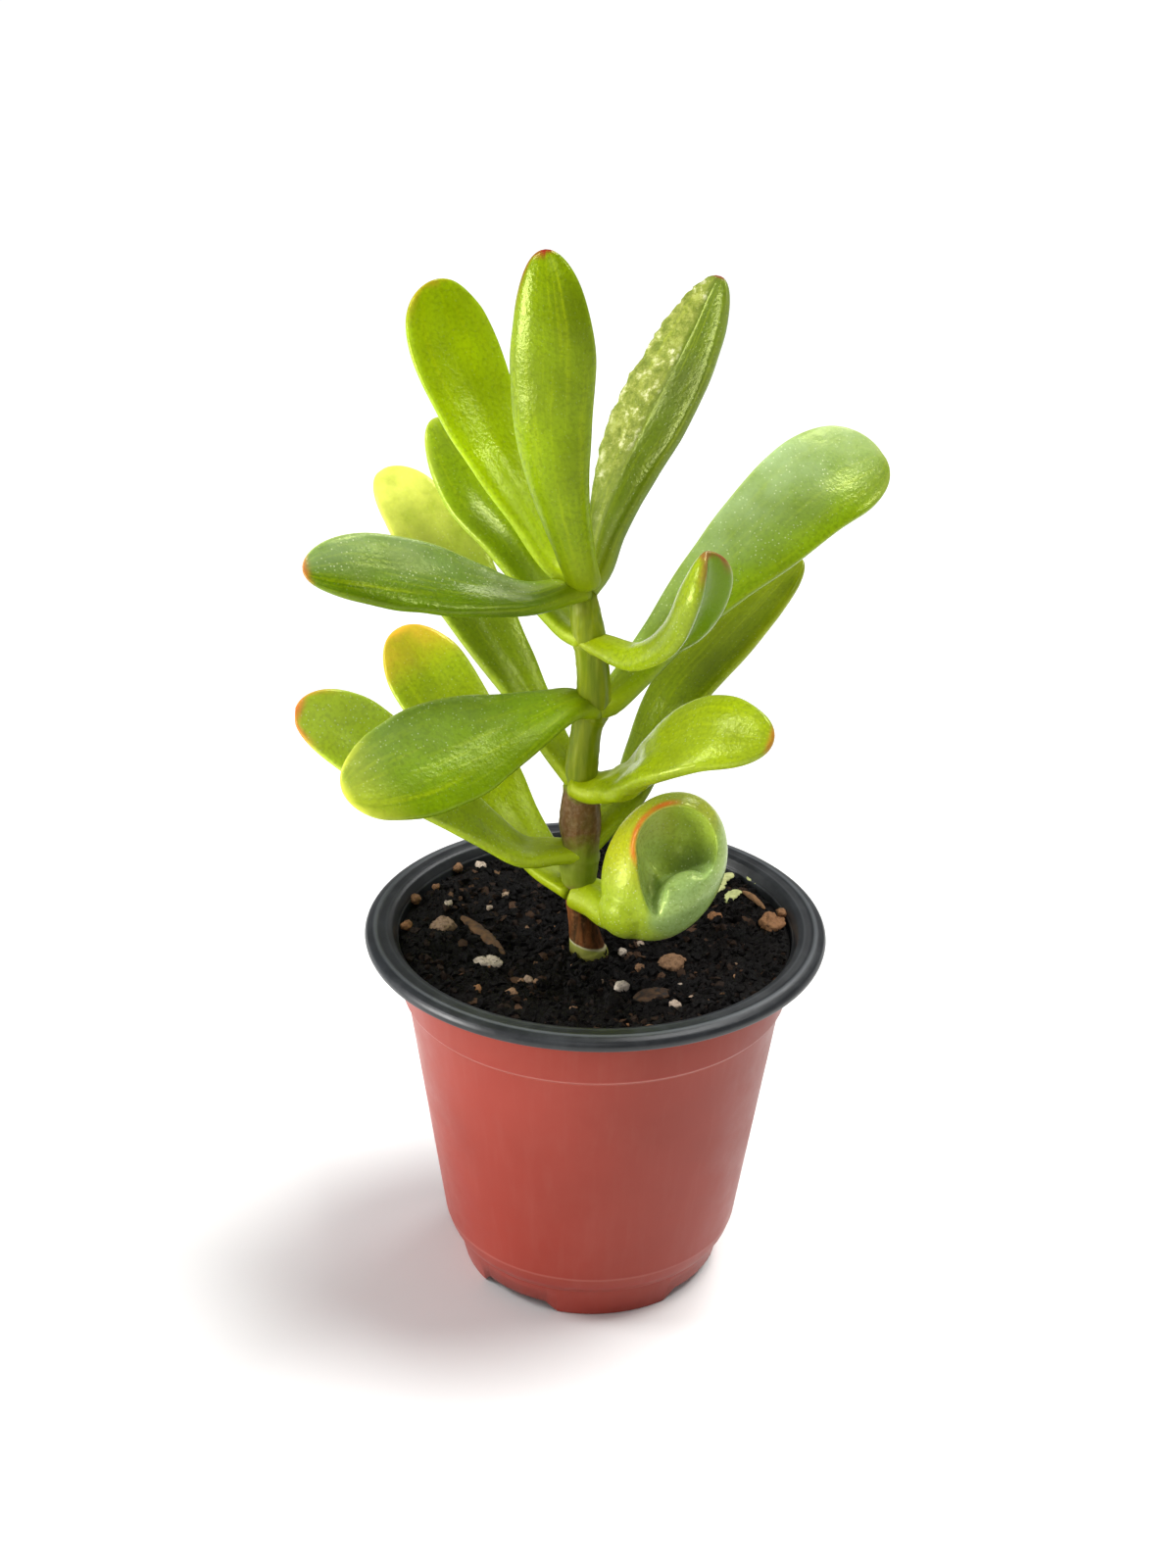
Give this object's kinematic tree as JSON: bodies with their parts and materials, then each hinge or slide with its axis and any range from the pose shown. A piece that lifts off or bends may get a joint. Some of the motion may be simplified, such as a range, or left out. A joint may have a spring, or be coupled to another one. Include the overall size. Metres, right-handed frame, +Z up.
{
  "type": "potted jade plant",
  "caption": "Young jade plant with long, fleshy, partly curled leaves in opposite pairs on one stem, in a thin terracotta plastic nursery pot with a black lip, filled with dark potting mix.",
  "frame": {"origin": "centre of the pot in the plane that it stands on", "axes": "+Z up along the stem, -Y towards the front of the plant, +X to its right"},
  "size_m": [0.128, 0.105, 0.242],
  "materials": {
    "pot": "satin terracotta outside, black lip and inside",
    "soil": "loose, damp and crumbly",
    "stem": "green above, brown and papery below",
    "leaf": "soft waxy gloss with a pale bloom",
    "stone": "dull, rough, pale mineral grain",
    "bark": "dry and fibrous"
  },
  "bodies": {
    "root": {"pot": "pot", "soil": "soil", "stem": "stem", "leaf_a_front": "leaf", "leaf_a_back": "leaf", "leaf_b_front": "leaf", "leaf_b_back": "leaf", "leaf_c_front": "leaf", "leaf_c_back": "leaf", "leaf_d_front": "leaf", "leaf_d_back": "leaf", "leaf_e_front": "leaf", "leaf_e_back": "leaf", "leaf_f_front": "leaf", "leaf_f_back": "leaf", "leaf_g_front": "leaf", "leaf_g_back": "leaf", "stone_front": "stone", "stone_right": "stone", "stone_left": "stone", "stone_pale": "stone", "bark_sliver": "bark", "bark_flat": "bark", "twig": "bark"}
  },
  "joints": []
}
